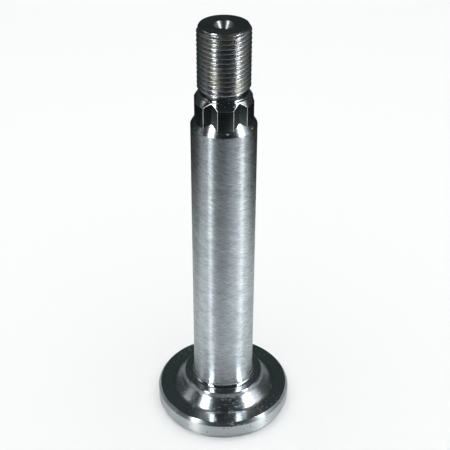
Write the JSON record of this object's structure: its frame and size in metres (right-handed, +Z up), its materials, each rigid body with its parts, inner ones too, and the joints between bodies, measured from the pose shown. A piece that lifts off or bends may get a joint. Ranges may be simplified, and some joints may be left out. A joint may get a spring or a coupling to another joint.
{
  "type": "mower deck spindle shaft",
  "caption": "Turned steel mower spindle shaft: blade flange, cone and collar at the base, bearing journal, star drive for the pulley and a threaded top end.",
  "frame": {"origin": "centre of the blade face, the flat underside of the flange, which the shaft stands on", "axes": "+Z up the shaft's axis to the threaded end; a point of the star faces -Y"},
  "size_m": [0.045, 0.045, 0.1385],
  "materials": {
    "steel": "ground journal, polished turned faces, light oil"
  },
  "bodies": {
    "root": {"spindle_shaft": "steel"}
  },
  "joints": []
}
